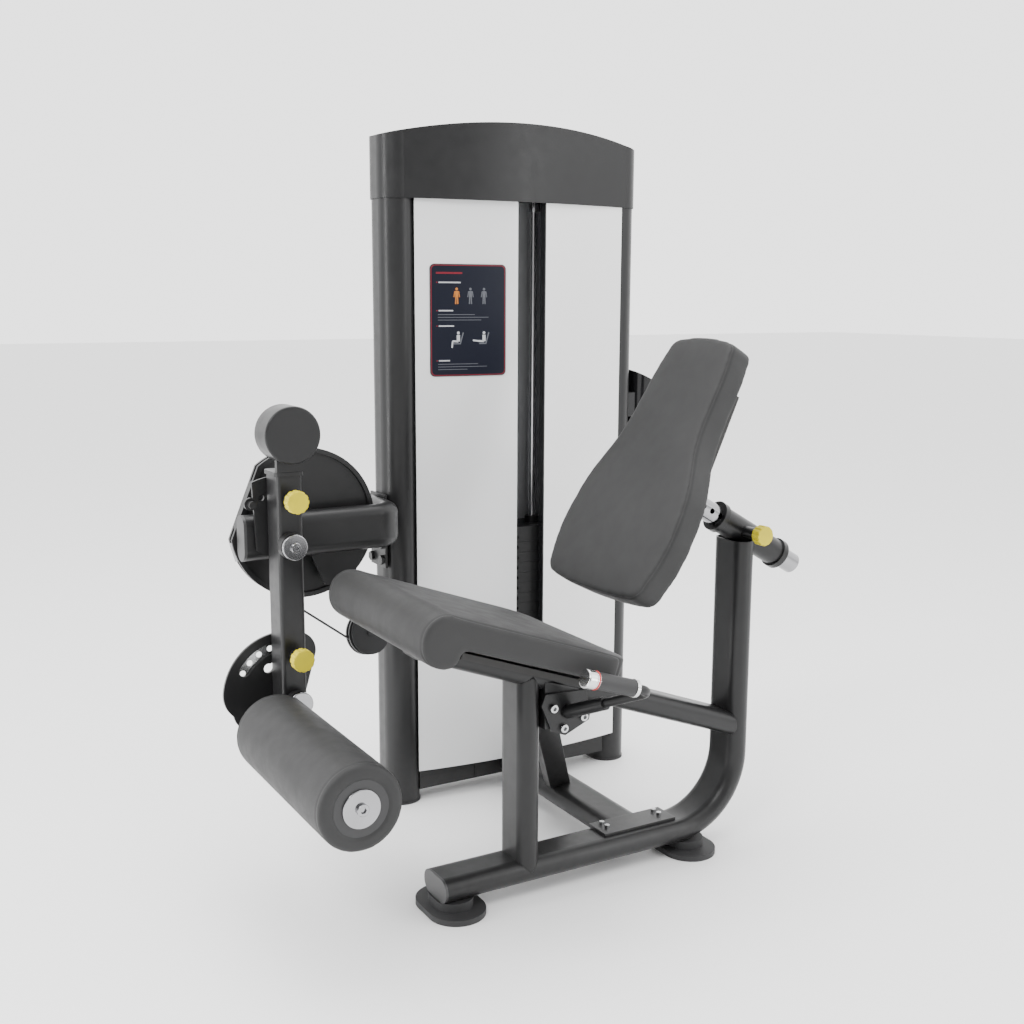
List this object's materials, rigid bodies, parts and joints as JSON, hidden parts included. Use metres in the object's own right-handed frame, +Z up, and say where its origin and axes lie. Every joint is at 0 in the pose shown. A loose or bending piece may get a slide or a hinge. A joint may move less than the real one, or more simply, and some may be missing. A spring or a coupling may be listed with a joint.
{
  "type": "leg extension machine",
  "caption": "Selectorised leg extension machine: weight tower, outrigger arm with cam and roller lever, padded seat and adjustable reclined back pad",
  "frame": {"origin": "centre of the bounding box's base, on the floor", "axes": "+Z up, +Y from the seat towards the weight tower, +X from the leg roller towards the back of the seat"},
  "size_m": [1.228, 0.8839, 1.56],
  "materials": {
    "frame_paint": "dark grey satin powder coat",
    "silver_paint": "silver metallic coat",
    "white_paint": "near-white powder coat",
    "rear_paint": "mid-grey coat",
    "placard_print": "printed film, blank pictograms",
    "upholstery": "fine-grain vinyl leather",
    "board": "plywood, painted black at the edge",
    "chrome": "polished chrome",
    "steel": "turned steel",
    "zinc": "bright zinc plate",
    "plate_iron": "black painted plates",
    "rubber": "black moulded rubber",
    "cable": "black nylon sheath over steel rope",
    "black_plastic": "moulded nylon",
    "gloss_black": "glossy moulded plastic",
    "plug_grey": "moulded end plug",
    "cover_grey": "mid-grey satin coat",
    "knob_yellow": "yellow moulded plastic",
    "knob_white": "pale moulded plastic with a chrome ring"
  },
  "bodies": {
    "frame": {"base_tube": "frame_paint", "end_plugs": "plug_grey", "front_post": "frame_paint", "seat_rail": "frame_paint", "cross_tube": "frame_paint", "frame_bolts": "zinc", "seat_brace": "frame_paint", "handles": "frame_paint", "grips": "rubber", "grip_knobs": "knob_white", "back_sleeve": "frame_paint", "seat_feet": "rubber", "seat_pad": "upholstery", "seat_board": "board", "upright_left": "frame_paint", "upright_right": "frame_paint", "rubber_pads": "rubber", "tower_rails": "frame_paint", "cap_cover": "frame_paint", "panel_left": "silver_paint", "panel_right": "white_paint", "rear_panel": "rear_paint", "placard": "placard_print", "guide_rods": "chrome", "lower_plates": "plate_iron", "accessory_holder": "gloss_black", "arm_tube": "frame_paint", "arm_brackets": "frame_paint", "pivot_bearings": "steel", "pulley_brackets": "cover_grey", "cable_run": "cable", "cam_lead": "cable", "stack_cable": "cable"},
    "cam": {"cam_disc": "frame_paint", "rom_plate": "frame_paint", "pivot_shaft": "chrome", "pivot_cap": "chrome", "cam_cable": "cable"},
    "lever": {"lever_post": "frame_paint", "counterweight": "frame_paint", "lever_hubs": "frame_paint"},
    "start_pin": {"rom_pin": "knob_yellow"},
    "ankle": {"ankle_quadrant": "frame_paint", "index_plate": "zinc", "roller_shaft": "steel", "ankle_caps": "chrome"},
    "ankle_plunger": {"ankle_pin": "knob_yellow"},
    "roller": {"roller_pad": "upholstery", "roller_core": "black_plastic"},
    "back": {"back_pad": "upholstery", "back_board": "board", "slider_tube": "chrome"},
    "back_plunger": {"back_pin": "knob_yellow"},
    "stack": {"lifted_plates": "plate_iron", "selector_rod": "steel"},
    "selector": {"selector_pin": "knob_yellow"},
    "side_wheel": {"side_pulley": "black_plastic"},
    "low_wheel": {"low_pulley": "black_plastic"},
    "top_wheel_a": {"top_pulley_a": "black_plastic"},
    "top_wheel_b": {"top_pulley_b": "black_plastic"}
  },
  "joints": [
    {"name": "leg_extension", "type": "hinge", "parent": "frame", "child": "cam", "pos_m": [-0.478, 0.286, 0.689], "axis": [0, 1, 0], "range_deg": [0, 100], "deforming": ["cam_lead"]},
    {"name": "start_angle", "type": "hinge", "parent": "cam", "child": "lever", "pos_m": [-0.478, 0.16, 0.689], "axis": [0, 1, 0], "range_deg": [-10, 20]},
    {"name": "start_pin_pull", "type": "slide", "parent": "lever", "child": "start_pin", "axis": [0, -1, 0], "range_m": [0, 0.018], "stiffness_N_per_m": 300, "springref_m": -0.01},
    {"name": "ankle_angle", "type": "hinge", "parent": "lever", "child": "ankle", "pos_m": [-0.474, 0.16, 0.365], "axis": [0, 1, 0], "range_deg": [-15, 45]},
    {"name": "ankle_pin_pull", "type": "slide", "parent": "lever", "child": "ankle_plunger", "axis": [0, -1, 0], "range_m": [0, 0.018], "stiffness_N_per_m": 300, "springref_m": -0.01},
    {"name": "roller_spin", "type": "hinge", "parent": "ankle", "child": "roller", "pos_m": [-0.535, -0.124, 0.322], "axis": [0, 1, 0], "continuous": true},
    {"name": "back_adjust", "type": "slide", "parent": "frame", "child": "back", "axis": [0.8678, 0, -0.497], "range_m": [-0.05, 0.12]},
    {"name": "back_pin_pull", "type": "slide", "parent": "frame", "child": "back_plunger", "axis": [0, -1, 0], "range_m": [0, 0.018], "stiffness_N_per_m": 300, "springref_m": -0.01},
    {"name": "stack_lift", "type": "slide", "parent": "frame", "child": "stack", "axis": [0, 0, 1], "range_m": [0, 0.275], "deforming": ["stack_cable"]},
    {"name": "selector_pull", "type": "slide", "parent": "stack", "child": "selector", "axis": [0, -1, 0], "range_m": [0, 0.06]},
    {"name": "side_pulley_turn", "type": "hinge", "parent": "frame", "child": "side_wheel", "pos_m": [-0.24541, 0.294, 0.43867], "axis": [-0.1446, 0.9702, -0.1947], "range_deg": [0, 480]},
    {"name": "low_pulley_turn", "type": "hinge", "parent": "frame", "child": "low_wheel", "pos_m": [-0.01637, 0.34887, 0.5956], "axis": [-0.2637, 0.9646, 0], "range_deg": [0, 345]},
    {"name": "top_pulley_a_turn", "type": "hinge", "parent": "frame", "child": "top_wheel_a", "pos_m": [0.05781, 0.36437, 1.478], "axis": [0.1125, -0.9937, 0], "range_deg": [0, 526]},
    {"name": "top_pulley_b_turn", "type": "hinge", "parent": "frame", "child": "top_wheel_b", "pos_m": [0.13069, 0.37263, 1.478], "axis": [0.1125, -0.9937, 0], "range_deg": [0, 526]}
  ],
  "couplings": [
    {"joint": "stack_lift", "follows": "leg_extension", "m_per_rad": 0.157},
    {"joint": "side_pulley_turn", "follows": "leg_extension", "ratio": 4.7576},
    {"joint": "low_pulley_turn", "follows": "leg_extension", "ratio": 3.413},
    {"joint": "top_pulley_a_turn", "follows": "leg_extension", "ratio": 5.2333},
    {"joint": "top_pulley_b_turn", "follows": "leg_extension", "ratio": 5.2333}
  ]
}
